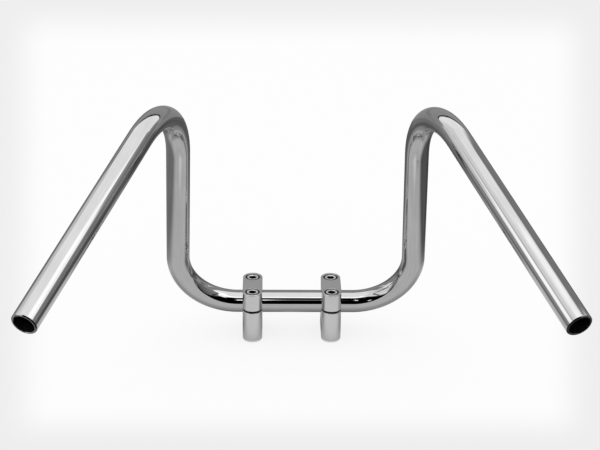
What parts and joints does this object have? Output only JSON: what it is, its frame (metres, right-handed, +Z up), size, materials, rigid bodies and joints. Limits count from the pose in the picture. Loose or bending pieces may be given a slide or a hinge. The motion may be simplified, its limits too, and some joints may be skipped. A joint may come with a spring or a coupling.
{
  "type": "motorcycle handlebar",
  "caption": "Tall, narrow motorcycle handlebar: a bent round tube with pulled-back open grips, held at its middle in a pair of split riser clamps.",
  "frame": {"origin": "midway between the two riser feet, on the plane they stand on", "axes": "+X across the bar to the rider's right, -Y back towards the rider, +Z up along the risers"},
  "size_m": [0.5104, 0.4191, 0.317],
  "materials": {
    "bar_chrome": "bright chrome plate on a steel tube",
    "clamp_chrome": "chrome plate, a little less bright than the tube",
    "screw_chrome": "chromed steel screws"
  },
  "bodies": {
    "root": {"handlebar": "bar_chrome", "riser_left": "clamp_chrome", "riser_right": "clamp_chrome", "cap_left": "clamp_chrome", "cap_right": "clamp_chrome", "screw_left_front": "screw_chrome", "screw_left_rear": "screw_chrome", "screw_right_front": "screw_chrome", "screw_right_rear": "screw_chrome"}
  },
  "joints": []
}
